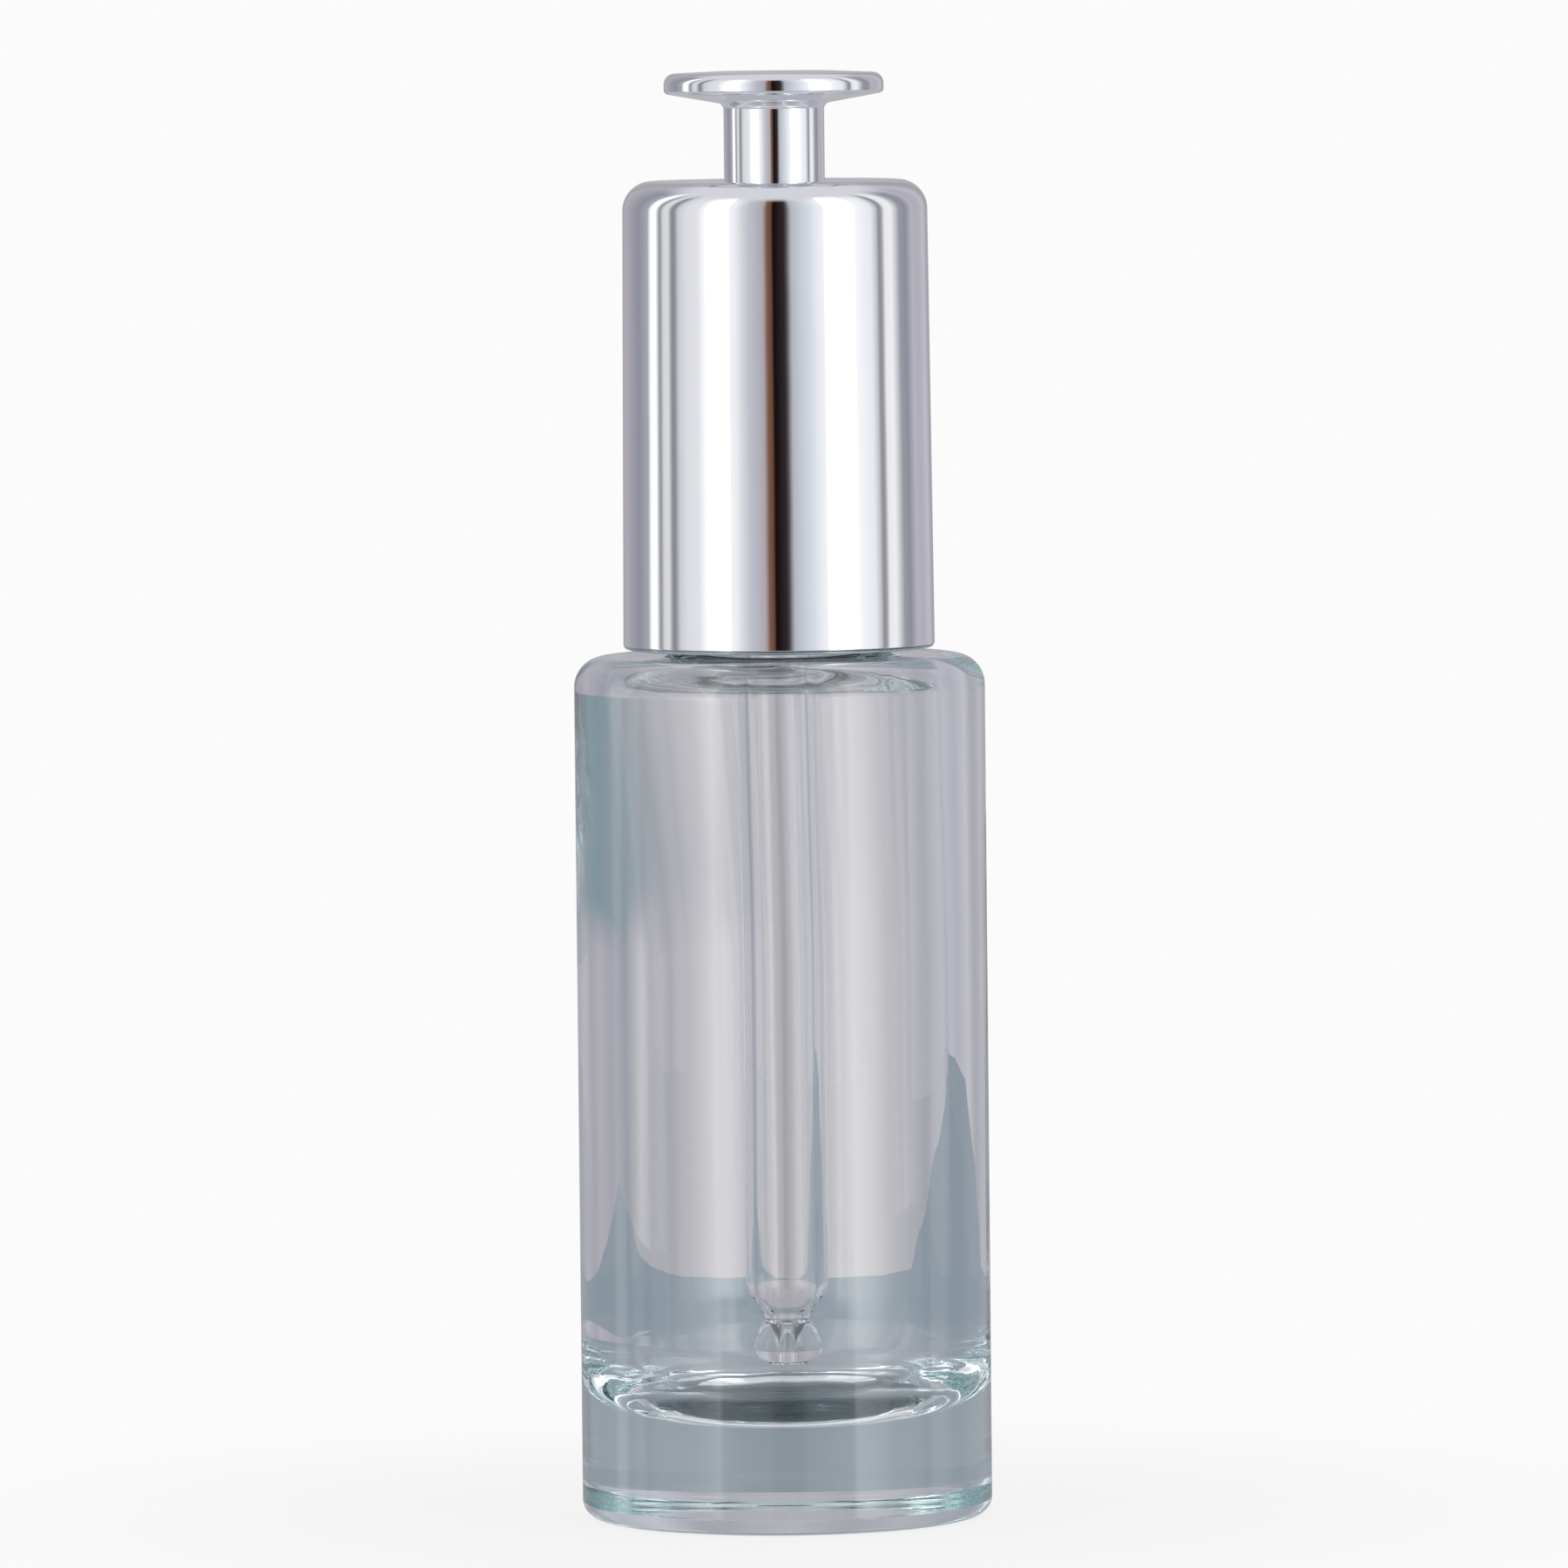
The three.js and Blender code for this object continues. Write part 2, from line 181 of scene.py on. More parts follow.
# Flint glass, blown: clear and faintly green in depth, with the long shallow waves that the mould
# leaves down its sides, about 3 mm apart, which bend what is seen through it into soft streaks.
flint_glass, tree, shader = finish("blown_flint_glass")
shader.inputs["Base Color"].default_value = (1, 1, 1, 1)
shader.inputs["Transmission Weight"].default_value = 1
shader.inputs["IOR"].default_value = 1.52
place = node(tree, "ShaderNodeTexCoord")
stretch = node(tree, "ShaderNodeMapping", {"Vector": place.outputs["Object"], "Scale": (1, 1, 0.06)})
waves = node(tree, "ShaderNodeTexNoise", {"Vector": stretch.outputs[0], "Scale": 330, "Detail": 1.5})
dimple = node(tree, "ShaderNodeBump", {"Height": waves.outputs[0], "Strength": 0.06, "Distance": 0.0004})
tree.links.new(dimple.outputs[0], shader.inputs["Normal"])
haze = node(tree, "ShaderNodeTexNoise", {"Vector": place.outputs["Object"], "Scale": 120, "Detail": 3})
polish = node(tree, "ShaderNodeMapRange", {0: haze.outputs[0], 1: 0.55, 2: 0.8, 3: 0.0, 4: 0.006})
tree.links.new(polish.outputs[0], shader.inputs["Roughness"])
depth = node(tree, "ShaderNodeVolumeAbsorption", {"Color": (0.6, 0.88, 0.87, 1), "Density": 5})
tree.links.new(depth.outputs[0], tree.nodes["Material Output"].inputs["Volume"])

glass_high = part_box("glass_bottle")[1]
glass_r = glass_high.x / MM
neck_top = glass_high.z / MM
neck_height = 13.9
shoulder = neck_top - neck_height
wall = 3.7
cavity_r = glass_r - wall
floor_z = 8.5
bore_r = 6.5
cavity_ceiling = shoulder - 1.7
neck_root_r = 9.07
thread_lead = 3.175
bottle_outline = rounded([
    (0, 0.7, 0),
    (6.0, 0.62, 16),
    (11.0, 0, 1.2),
    (glass_r, 0, 1.6),
    (glass_r, shoulder, 2.6),
    (neck_root_r, shoulder, 0.9),
    (neck_root_r, neck_top, 0.8),
    (bore_r, neck_top, 0.35),
    (bore_r, cavity_ceiling + 0.9, 1.2),
    (cavity_r - 0.1, cavity_ceiling, 1.5),
    (cavity_r - 0.1, floor_z, 7.0),
    (0, floor_z, 0),
])


def sized_tree(name, sizes):
    """A new geometry tree with a named input for each size, and the sockets of those inputs."""
    tree = bpy.data.node_groups.new(name, "GeometryNodeTree")
    tree.is_modifier = True
    tree.interface.new_socket("Geometry", in_out="INPUT", socket_type="NodeSocketGeometry")
    for key, value in sizes.items():
        kind = "NodeSocketInt" if isinstance(value, int) else "NodeSocketFloat"
        tree.interface.new_socket(key, in_out="INPUT", socket_type=kind)
    tree.interface.new_socket("Geometry", in_out="OUTPUT", socket_type="NodeSocketGeometry")
    return tree, node(tree, "NodeGroupInput").outputs


def grown(piece, tree, sizes):
    """Runs a geometry tree on a piece with its sizes, and leaves the result as a plain mesh."""
    modifier = piece.modifiers.new(tree.name, "NODES")
    modifier.node_group = tree
    for socket in tree.interface.items_tree:
        if socket.in_out == "INPUT" and socket.name in sizes:
            modifier[socket.identifier] = sizes[socket.name]
    bpy.context.view_layer.update()
    evaluated = piece.evaluated_get(bpy.context.evaluated_depsgraph_get())
    result = bpy.data.meshes.new_from_object(evaluated)
    result.name = piece.name
    piece.modifiers.remove(modifier)
    piece.data = result


def threaded(piece, near_r, first_turn, depth, turns=1.5, root_width=1.9, crest_width=0.8):
    """Raises a screw thread from the turned wall near a radius: outwards, or inwards if depth is
    negative. It fades out over an eighth of a turn at each end."""
    sizes = {
        "First turn height": first_turn * MM,
        "Lead": thread_lead * MM,
        "Turns": turns,
        "Depth": depth * MM,
        "Root width": root_width * MM,
        "Crest width": crest_width * MM,
        "Wall radius": near_r * MM,
    }
    tree, given = sized_tree("screw_thread", sizes)
    reach = 0.25 * MM
    fades = 8

    # How many turns up the thread each point lies, and how far it is above or below the ridge.
    where = node(tree, "GeometryNodeInputPosition").outputs[0]
    axes = node(tree, "ShaderNodeSeparateXYZ", {0: where}).outputs
    bearing = node(tree, "ShaderNodeMath", {0: axes["Y"], 1: axes["X"]}, operation="ARCTAN2").outputs[0]
    part_turn = node(
        tree, "ShaderNodeMath", {0: bearing, 1: 2 * math.pi}, operation="DIVIDE"
    ).outputs[0]
    start = given["First turn height"]
    above = node(tree, "ShaderNodeMath", {0: axes["Z"], 1: start}, operation="SUBTRACT").outputs[0]
    climb = node(tree, "ShaderNodeMath", {0: above, 1: given["Lead"]}, operation="DIVIDE").outputs[0]
    ahead = node(tree, "ShaderNodeMath", {0: climb, 1: part_turn}, operation="SUBTRACT").outputs[0]
    whole = node(tree, "ShaderNodeMath", {0: ahead}, operation="ROUND").outputs[0]
    turn = node(tree, "ShaderNodeMath", {0: part_turn, 1: whole}, operation="ADD").outputs[0]
    astray = node(tree, "ShaderNodeMath", {0: climb, 1: turn}, operation="SUBTRACT").outputs[0]
    rise = node(tree, "ShaderNodeMath", {0: astray, 1: given["Lead"]}, operation="MULTIPLY").outputs[0]
    off = node(tree, "ShaderNodeMath", {0: rise}, operation="ABSOLUTE").outputs[0]

    # The ridge's section: full height at the crest, sloping to nothing at its root's edges.
    half_root = node(
        tree, "ShaderNodeMath", {0: given["Root width"], 1: 2}, operation="DIVIDE"
    ).outputs[0]
    inside = node(tree, "ShaderNodeMath", {0: half_root, 1: off}, operation="SUBTRACT").outputs[0]
    widths = {0: given["Root width"], 1: given["Crest width"]}
    flanks = node(tree, "ShaderNodeMath", widths, operation="SUBTRACT").outputs[0]
    slope = node(tree, "ShaderNodeMath", {0: flanks, 1: 2}, operation="DIVIDE").outputs[0]
    flank = node(
        tree, "ShaderNodeMath", {0: inside, 1: slope}, operation="DIVIDE", use_clamp=True
    ).outputs[0]
    begins = node(
        tree, "ShaderNodeMath", {0: turn, 1: fades}, operation="MULTIPLY", use_clamp=True
    ).outputs[0]
    left = node(tree, "ShaderNodeMath", {0: given["Turns"], 1: turn}, operation="SUBTRACT").outputs[0]
    ends = node(
        tree, "ShaderNodeMath", {0: left, 1: fades}, operation="MULTIPLY", use_clamp=True
    ).outputs[0]
    begun = node(tree, "ShaderNodeMath", {0: flank, 1: begins}, operation="MULTIPLY").outputs[0]
    proud = node(tree, "ShaderNodeMath", {0: begun, 1: ends}, operation="MULTIPLY").outputs[0]
    eased = node(tree, "ShaderNodeMapRange", {0: proud}, interpolation_type="SMOOTHSTEP").outputs[0]
    height = node(
        tree, "ShaderNodeMath", {0: eased, 1: given["Depth"]}, operation="MULTIPLY"
    ).outputs[0]

    # Only the wall near the given radius moves, straight out from the axis.
    flat = node(tree, "ShaderNodeCombineXYZ", {0: axes["X"], 1: axes["Y"]}).outputs[0]
    out = node(tree, "ShaderNodeVectorMath", {0: flat}, operation="NORMALIZE").outputs[0]
    radius = node(tree, "ShaderNodeVectorMath", {0: flat}, operation="LENGTH").outputs["Value"]
    on_wall = {0: radius, 1: given["Wall radius"], 2: reach}
    near = node(tree, "ShaderNodeMath", on_wall, operation="COMPARE").outputs[0]
    shift = node(tree, "ShaderNodeVectorMath", {0: out, "Scale": height}, operation="SCALE").outputs[0]
    moved = node(tree, "GeometryNodeSetPosition", {
        "Geometry": given["Geometry"], "Selection": near, "Offset": shift,
    })
    smooth = node(tree, "GeometryNodeSetShadeSmooth", {"Geometry": moved.outputs[0]})
    real = node(tree, "GeometryNodeRealizeInstances", {"Geometry": smooth.outputs[0]})
    painted = node(tree, "GeometryNodeSetMaterial", {
        "Geometry": real.outputs[0], "Material": piece.data.materials[0],
    })
    node(tree, "NodeGroupOutput", {"Geometry": painted.outputs[0]})
    grown(piece, tree, sizes)


bottle_outline = ladder(bottle_outline, cavity_r - 0.1, floor_z, cavity_ceiling, 1.0)
thread_step = 0.14
bottle_outline = ladder(bottle_outline, neck_root_r, shoulder + 3, neck_top - 2, thread_step)
bottle = turned("flint_glass_bottle", bottle_outline, around=256)

# The blown cavity is a little uneven. Low down it sits 0.3 mm to the right. From a little above
# mid-height it widens, by nearly 0.8 mm at the top, and leans as far left. Its wall also ripples,
# by some hundredths of a millimetre, where it turns into the floor.
offset = 0.28
lean = 0.035  # for each millimetre up
lean_foot = 46
lean_ease = 8  # the height over which the lean sets in
settle_height = 8
settle_r, settle_width = 7, 4
ripple_top = 15.5
ripple_length = 3
ripple_height = 0.07
faint_ripple = 0.001
for vertex in bottle.data.vertices:
    r = math.hypot(vertex.co.x, vertex.co.y) / MM
    z = vertex.co.z / MM
    if not 1 < r < glass_r - 2 or not floor_z - 0.1 < z < cavity_ceiling + 0.1:
        continue
    climb = max(0, z - lean_foot)
    eased = climb * climb / (2 * lean_ease) if climb < lean_ease else climb - lean_ease / 2
    settled = min(1, (z - floor_z) / settle_height) * min(1, max(0, (r - settle_r) / settle_width))
    low_share = min(1, max(0, (ripple_top - z) / 2)) * min(1, r / 8)
    ripple = noise.noise(vertex.co / (ripple_length * MM)) * (faint_ripple + ripple_height * low_share)
    widened = lean * eased * settled + ripple * min(1, r / 4)
    vertex.co.x += (offset - lean * eased) * settled * MM + vertex.co.x / r * widened
    vertex.co.y += vertex.co.y / r * widened
bottle.data.materials.append(flint_glass)

# The first turn starts 5.2 mm above the shoulder. The radius given lies just inside the neck's wall,
# so that the fillet at its foot stays as it is.
thread_start = shoulder + 5.2
thread_depth = 0.75
threaded(bottle, 8.9, thread_start, thread_depth)
dress(bottle, flint_glass, "clear_glass", "bottle", "glass_bottle")


# --- Neck wiper -----------------------------------------------------------------------------------
# A soft plug pushed into the neck, moulded in natural low-density polyethylene. Its thin lip strips
# the pipette as it is drawn out, and its flange lies on the neck's rim.

# Low-density polyethylene, injection-moulded: milky and waxy, with a faint matt skin.
polyethylene, tree, shader = finish("natural_polyethylene")
shader.inputs["Subsurface Weight"].default_value = 0.35
shader.inputs["Subsurface Radius"].default_value = (0.0016, 0.0016, 0.0015)
shader.inputs["IOR"].default_value = 1.51
place = node(tree, "ShaderNodeTexCoord")
cloud = node(tree, "ShaderNodeTexNoise", {"Vector": place.outputs["Object"], "Scale": 400, "Detail": 3})
milk = node(tree, "ShaderNodeMix", {
    0: cloud.outputs[0], 6: linear("dfe2df"), 7: linear("eceeea"),
}, data_type="RGBA")
tree.links.new(milk.outputs[2], shader.inputs["Base Color"])
skin = node(tree, "ShaderNodeMapRange", {0: cloud.outputs[0], 3: 0.38, 4: 0.55})
tree.links.new(skin.outputs[0], shader.inputs["Roughness"])
grain = node(tree, "ShaderNodeTexNoise", {"Vector": place.outputs["Object"], "Scale": 2600, "Detail": 2})
dimple = node(tree, "ShaderNodeBump", {
    "Height": grain.outputs[0], "Strength": 0.15, "Distance": 0.00004,
})
tree.links.new(dimple.outputs[0], shader.inputs["Normal"])

wiper_low, wiper_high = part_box("neck_wiper")
wiper_top = wiper_high.z / MM
wiper_foot = wiper_low.z / MM
wiper_tube_r = 6.4
wiper_hole_r = 3.65
wiper = turned("neck_wiper", rounded([
    (wiper_hole_r, wiper_foot, 0.2),
    (wiper_tube_r - 1.6, wiper_foot, 0.2),
    (wiper_tube_r, wiper_foot + 1.8, 0.6),
    (wiper_tube_r, wiper_top - 0.8, 0.1),
    (8.4, wiper_top - 0.8, 0.25),
    (8.4, wiper_top, 0.3),
    (wiper_tube_r - 1.2, wiper_top, 0.4),
    (wiper_tube_r - 1.2, wiper_foot + 2.6, 0.5),
    (wiper_hole_r, wiper_foot + 0.8, 0.15),
], ring=True), ring=True, around=128)
dress(wiper, polyethylene, "natural_polyethylene", "bottle", "neck_wiper")


# --- Sealing washer -------------------------------------------------------------------------------
# A ring punched from foamed polyethylene sheet. It lies loose on the neck's rim, and the cap's
# ceiling presses it tight.

# Foamed polyethylene, die-cut: white and dull, pitted all over with cells a few tenths across.
foam, tree, shader = finish("foam_liner")
shader.inputs["Roughness"].default_value = 0.85
place = node(tree, "ShaderNodeTexCoord")
cells = node(tree, "ShaderNodeTexVoronoi", {"Vector": place.outputs["Object"], "Scale": 3200})
pale = node(tree, "ShaderNodeMapRange", {0: cells.outputs["Distance"], 1: 0.0, 2: 0.6})
white = node(tree, "ShaderNodeMix", {
    0: pale.outputs[0], 6: linear("dddbd4"), 7: linear("f6f5f0"),
}, data_type="RGBA")
tree.links.new(white.outputs[2], shader.inputs["Base Color"])
pits = node(tree, "ShaderNodeBump", {
    "Height": cells.outputs["Distance"], "Strength": 0.5, "Distance": 0.0001,
})
tree.links.new(pits.outputs[0], shader.inputs["Normal"])

washer_low, washer_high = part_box("sealing_washer")
washer_foot = washer_low.z / MM
washer_top = washer_high.z / MM
washer_r = washer_high.x / MM
washer = turned("sealing_washer", rounded([
    (4.2, washer_foot, 0.08),
    (washer_r, washer_foot, 0.1),
    (washer_r, washer_top, 0.1),
    (4.2, washer_top, 0.08),
], ring=True), ring=True, around=128)
dress(washer, foam, "foam_liner", "washer", "sealing_washer")


# --- Pipette --------------------------------------------------------------------------------------
# A drawn glass tube, 7 mm across with a 1 mm wall. Its lower end is drawn in to a waist and blown
# to a ball with a fine hole, and its upper end is rolled to a bead that the bulb grips.

# Borosilicate glass, drawn and flame-worked: quite clear, with faint draw lines along the tube.
drawn_glass, tree, shader = finish("drawn_borosilicate_glass")
shader.inputs["Base Color"].default_value = (1, 1, 1, 1)
shader.inputs["Transmission Weight"].default_value = 1
shader.inputs["IOR"].default_value = 1.474
place = node(tree, "ShaderNodeTexCoord")
stretch = node(tree, "ShaderNodeMapping", {"Vector": place.outputs["Object"], "Scale": (1, 1, 0.03)})
lines = node(tree, "ShaderNodeTexNoise", {"Vector": stretch.outputs[0], "Scale": 900, "Detail": 1})
dimple = node(tree, "ShaderNodeBump", {"Height": lines.outputs[0], "Strength": 0.03, "Distance": 0.0001})
tree.links.new(dimple.outputs[0], shader.inputs["Normal"])
polish = node(tree, "ShaderNodeMapRange", {0: lines.outputs[0], 1: 0.5, 2: 0.8, 3: 0.0, 4: 0.01})
tree.links.new(polish.outputs[0], shader.inputs["Roughness"])
depth = node(tree, "ShaderNodeVolumeAbsorption", {"Color": (0.8, 0.86, 0.86, 1), "Density": 12})
tree.links.new(depth.outputs[0], tree.nodes["Material Output"].inputs["Volume"])

pipette_low, pipette_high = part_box("pipette")
tip = pipette_low.z / MM
bead_top = pipette_high.z / MM
bead_r = pipette_high.x / MM
tube_r = 3.5
tube_bore_r = 2.5
ball_r = 2.9
pipette = turned("glass_pipette", rounded([
    (0.55, tip, 0.2),
    (1.5, tip, 0.5),
    (ball_r + 0.02, tip + 1.5, 2.2),
    (ball_r + 0.02, tip + 3.4, 2.2),
    (2.0, tip + 4.9, 0.6),
    (2.25, tip + 5.9, 1.0),
    (tube_r, tip + 7.4, 1.4),
    (tube_r, bead_top - 1.2, 0.3),
    (bead_r, bead_top - 1.2, 0.55),
    (bead_r, bead_top, 0.55),
    (tube_bore_r, bead_top, 0.5),
    (tube_bore_r, tip + 7.4, 1.4),
    (1.3, tip + 5.6, 1.0),
    (1.2, tip + 4.4, 0.8),
    (0.55, tip + 2.2, 0.8),
], ring=True), ring=True, around=128)
dress(pipette, drawn_glass, "clear_glass", "dropper", "pipette")


# --- Rubber bulb ----------------------------------------------------------------------------------
# A dome of silicone rubber over the pipette's bead. The plunger flattens it, and as it springs back
# it draws the liquid up. Its thick foot is held down by the bulb clamp.

# Silicone rubber, compression-moulded: soft, white and slightly translucent, with a dusty skin.
silicone, tree, shader = finish("moulded_silicone")
shader.inputs["Subsurface Weight"].default_value = 0.3
shader.inputs["Subsurface Radius"].default_value = (0.002, 0.0018, 0.0016)
shader.inputs["IOR"].default_value = 1.41
place = node(tree, "ShaderNodeTexCoord")
dust = node(tree, "ShaderNodeTexNoise", {"Vector": place.outputs["Object"], "Scale": 900, "Detail": 4})
white = node(tree, "ShaderNodeMix", {
    0: dust.outputs[0], 6: linear("dedcd9"), 7: linear("efeeec"),
}, data_type="RGBA")
tree.links.new(white.outputs[2], shader.inputs["Base Color"])
bloom = node(tree, "ShaderNodeMapRange", {0: dust.outputs[0], 3: 0.5, 4: 0.68})
tree.links.new(bloom.outputs[0], shader.inputs["Roughness"])
dimple = node(tree, "ShaderNodeBump", {"Height": dust.outputs[0], "Strength": 0.1, "Distance": 0.00005})
tree.links.new(dimple.outputs[0], shader.inputs["Normal"])

bulb_low, bulb_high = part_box("rubber_bulb")
bulb_foot = bulb_low.z / MM
bulb_top = bulb_high.z / MM
bulb_r = 6.6
bulb_wall = 1.1
bulb_foot_r = bulb_high.x / MM
bulb_outline = rounded([
    (0, bulb_top - bulb_wall, 0),
    (bulb_r - bulb_wall, bulb_top - bulb_wall, 3.5),
    (bulb_r - bulb_wall, bulb_foot + 2.8, 0.6),
    (3.2, bulb_foot + 2.0, 0.3),
    (3.2, bulb_foot + 1.3, 0.15),
    (bead_r + 0.1, bulb_foot + 1.3, 0.3),
    (bead_r + 0.1, bulb_foot, 0.2),
    (bulb_foot_r, bulb_foot, 0.3),
    (bulb_foot_r, bulb_foot + 2.2, 0.4),
    (bulb_r, bulb_foot + 2.2, 0.5),
    (bulb_r, bulb_top, 4.6),
    (0, bulb_top, 0),
])
bulb = turned("silicone_bulb", bulb_outline, around=128)
dress(bulb, silicone, "white_silicone", "dropper", "rubber_bulb")


# --- Inner cap ------------------------------------------------------------------------------------
# The screw cap proper, moulded in white polypropylene and pressed into the plated shell, where its
# splines bite. Its ceiling presses the washer, and its rim takes the bulb clamp's snap bead.

# Polypropylene, injection-moulded: white and faintly waxy, with the mould's fine spark-eroded grain.
polypropylene, tree, shader = finish("white_polypropylene")
shader.inputs["Subsurface Weight"].default_value = 0.12
shader.inputs["Subsurface Radius"].default_value = (0.001, 0.001, 0.001)
shader.inputs["IOR"].default_value = 1.49
place = node(tree, "ShaderNodeTexCoord")
cloud = node(tree, "ShaderNodeTexNoise", {"Vector": place.outputs["Object"], "Scale": 260, "Detail": 2})
white = node(tree, "ShaderNodeMix", {
    0: cloud.outputs[0], 6: linear("ececea"), 7: linear("f5f5f3"),
}, data_type="RGBA")
tree.links.new(white.outputs[2], shader.inputs["Base Color"])
grain = node(tree, "ShaderNodeTexNoise", {"Vector": place.outputs["Object"], "Scale": 5000, "Detail": 2})
skin = node(tree, "ShaderNodeMapRange", {0: grain.outputs[0], 3: 0.34, 4: 0.5})
tree.links.new(skin.outputs[0], shader.inputs["Roughness"])
dimple = node(tree, "ShaderNodeBump", {"Height": grain.outputs[0], "Strength": 0.2, "Distance": 0.00003})
tree.links.new(dimple.outputs[0], shader.inputs["Normal"])

cap_low, cap_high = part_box("inner_cap")
cap_foot = cap_low.z / MM
rim_top = cap_high.z / MM
deck = rim_top - 2.6
ceiling = deck - 1.6
cap_root_r = 10.23
skirt_r = 11.35
rim_r = 9.7
cap = turned("inner_cap", ladder(rounded([
    (3.75, ceiling, 0.2),
    (cap_root_r, ceiling, 0.3),
    (cap_root_r, cap_foot, 0.45),
    (skirt_r, cap_foot, 0.25),
    (skirt_r, deck, 0.3),
    (rim_r + 1.2, deck, 0.1),
    (rim_r + 1.2, rim_top, 0.3),
    (rim_r, rim_top, 0.2),
    (rim_r, deck + 2.3, 0.1),
    (rim_r - 0.3, deck + 1.9, 0.15),
    (rim_r, deck + 1.5, 0.1),
    (rim_r, deck, 0.15),
    (3.75, deck, 0.2),
], ring=True), cap_root_r, cap_foot + 0.6, ceiling - 1.5, thread_step), ring=True, around=256)
cap.data.materials.append(polypropylene)
threaded(cap, 10.4, thread_start - thread_lead / 2, -thread_depth, root_width=1.3, crest_width=0.7)
dress(cap, polypropylene, "white_polypropylene", "closure", "inner_cap")

# The splines are moulded with the skirt, twenty of them, each rounded along its outer edge.
spline_sizes = {
    "Count": 20,
    "Circle radius": (skirt_r + 0.02) * MM,
    "Rib radius": 0.28 * MM,
    "Rib length": (deck - cap_foot - 1.6) * MM,
    "Middle height": ((deck + cap_foot) / 2 - 0.3) * MM,
}
spline_tree, given_splines = sized_tree("grip_splines", spline_sizes)
circle = node(spline_tree, "GeometryNodeMeshCircle", {
    "Vertices": given_splines["Count"], "Radius": given_splines["Circle radius"],
})
lift = node(spline_tree, "ShaderNodeCombineXYZ", {"Z": given_splines["Middle height"]})
ring_of_points = node(spline_tree, "GeometryNodeTransform", {
    "Geometry": circle.outputs[0], "Translation": lift.outputs[0],
})
rib = node(spline_tree, "GeometryNodeMeshCylinder", {
    "Vertices": 16,
    "Radius": given_splines["Rib radius"],
    "Depth": given_splines["Rib length"],
    "Side Segments": 1,
    "Fill Segments": 2,
})
ribs = node(spline_tree, "GeometryNodeInstanceOnPoints", {
    "Points": ring_of_points.outputs[0], "Instance": rib.outputs[0],
})
real_ribs = node(spline_tree, "GeometryNodeRealizeInstances", {"Geometry": ribs.outputs[0]})
painted_ribs = node(spline_tree, "GeometryNodeSetMaterial", {
    "Geometry": real_ribs.outputs[0], "Material": polypropylene,
})
node(spline_tree, "NodeGroupOutput", {"Geometry": painted_ribs.outputs[0]})
splines = bpy.data.objects.new("cap_splines", bpy.data.meshes.new("cap_splines"))
bpy.context.scene.collection.objects.link(splines)
grown(splines, spline_tree, spline_sizes)
dress(splines, polypropylene, "white_polypropylene", "closure", "inner_cap")


# --- Bulb clamp -----------------------------------------------------------------------------------
# A polypropylene snap ring that holds the bulb's foot, with the pipette's bead inside it, down on
# the inner cap. The return spring stands on it.

clamp_low, clamp_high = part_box("bulb_clamp")
clamp_foot = clamp_low.z / MM
clamp_top = clamp_high.z / MM
clamp_r = clamp_high.x / MM
clamp = turned("bulb_clamp", rounded([
    (bulb_foot_r + 0.1, clamp_foot, 0.15),
    (clamp_r, clamp_foot, 0.2),
    (clamp_r, clamp_foot + 1.3, 0.1),
    (clamp_r - 0.35, clamp_foot + 1.9, 0.15),
    (clamp_r, clamp_foot + 2.5, 0.1),
    (clamp_r, clamp_top, 0.3),
    (bulb_r + 0.3, clamp_top, 0.3),
    (bulb_r + 0.3, clamp_foot + 2.3, 0.15),
    (bulb_foot_r + 0.1, clamp_foot + 2.3, 0.2),
], ring=True), ring=True, around=128)
dress(clamp, polypropylene, "white_polypropylene", "closure", "bulb_clamp")


# --- Return spring --------------------------------------------------------------------------------
# Six turns of 0.6 mm stainless wire, coiled right-handed with its end turns closed. It stands on
# the clamp around the bulb and lifts the plunger again.

# Stainless spring wire, cold-drawn: bright, with fine draw lines that blur its shine along the wire.
spring_wire, tree, shader = finish("drawn_spring_steel")
shader.inputs["Metallic"].default_value = 1
place = node(tree, "ShaderNodeTexCoord")
streaks = node(tree, "ShaderNodeTexNoise", {
    "Vector": place.outputs["Object"], "Scale": 1800, "Detail": 3,
})
steel = node(tree, "ShaderNodeMix", {
    0: streaks.outputs[0], 6: linear("9a9ea1"), 7: linear("b9bdbf"),
}, data_type="RGBA")
tree.links.new(steel.outputs[2], shader.inputs["Base Color"])
shine = node(tree, "ShaderNodeMapRange", {0: streaks.outputs[0], 3: 0.18, 4: 0.34})
tree.links.new(shine.outputs[0], shader.inputs["Roughness"])

spring_low, spring_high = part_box("return_spring")
wire_r = 0.3 * MM
spring_turns = 6
steps_a_turn = 40
spring_sizes = {
    "Turns": float(spring_turns),
    "Coil radius": spring_high.x - wire_r,
    "Wire radius": wire_r,
    "Length": spring_high.z - spring_low.z - 2 * wire_r,
    "Foot height": spring_low.z + wire_r,
    "Closed share": 1 / spring_turns,
    "Closed rise": 2.2 * wire_r,
}
tree, coil = sized_tree("closed_end_coil", spring_sizes)
line = node(tree, "GeometryNodeCurvePrimitiveLine", {"End": (0, 0, 1)})
steps = node(tree, "GeometryNodeResampleCurve", {
    "Curve": line.outputs[0], "Count": spring_turns * steps_a_turn + 1,
})

